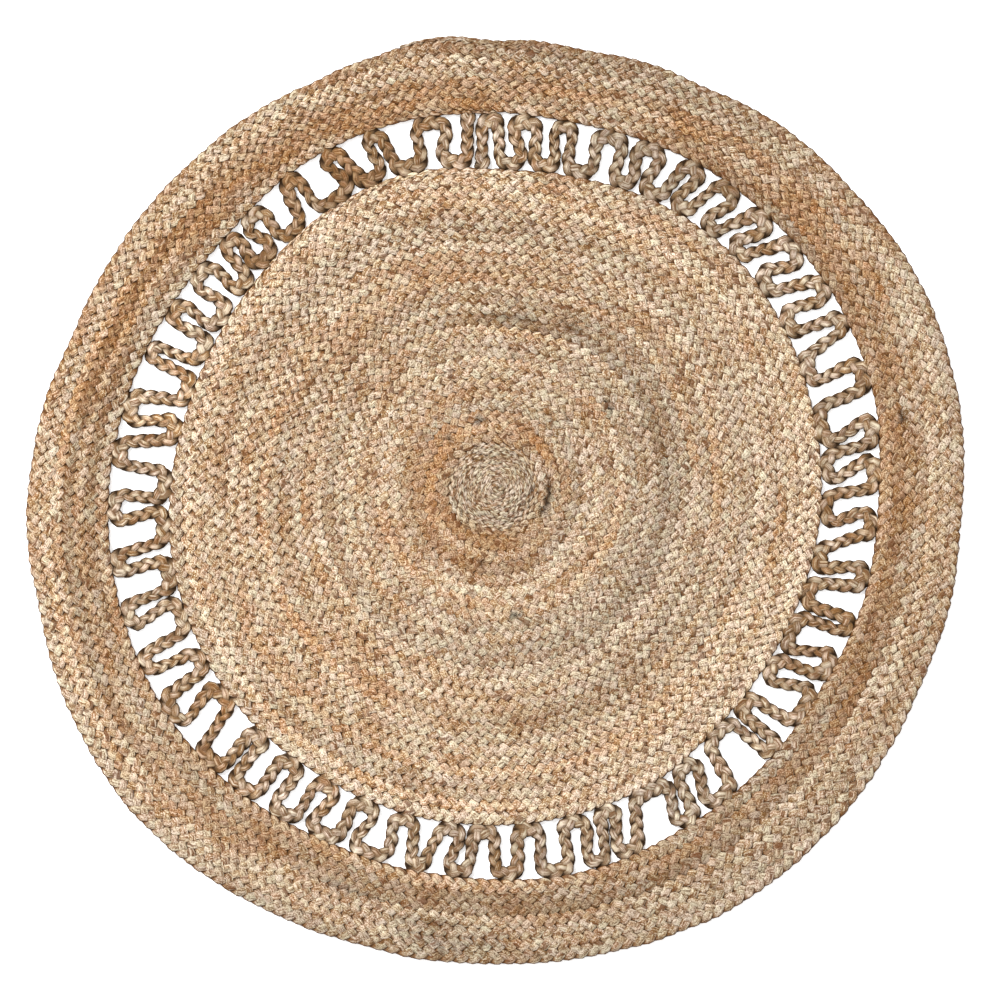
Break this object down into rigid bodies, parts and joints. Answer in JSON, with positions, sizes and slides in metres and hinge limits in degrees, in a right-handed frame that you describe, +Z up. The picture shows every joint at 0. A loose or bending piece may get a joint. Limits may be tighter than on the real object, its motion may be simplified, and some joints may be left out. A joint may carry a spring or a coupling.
{
  "type": "round jute rug",
  "caption": "Round floor rug of plaited jute: a spiral-wound centre, a zigzag ring of openwork and a wound border.",
  "frame": {"origin": "on the floor under the middle of the rug's bounding box", "axes": "+Z up through the rug's thickness, +Y towards the two ends of the openwork plait, +X to their right"},
  "size_m": [1.2014, 1.188, 0.01],
  "materials": {
    "disc_jute": "matte",
    "openwork_jute": "matte",
    "border_jute": "matte"
  },
  "bodies": {
    "root": {"centre_disc": "disc_jute", "openwork_braid": "openwork_jute", "border_band": "border_jute"}
  },
  "joints": []
}
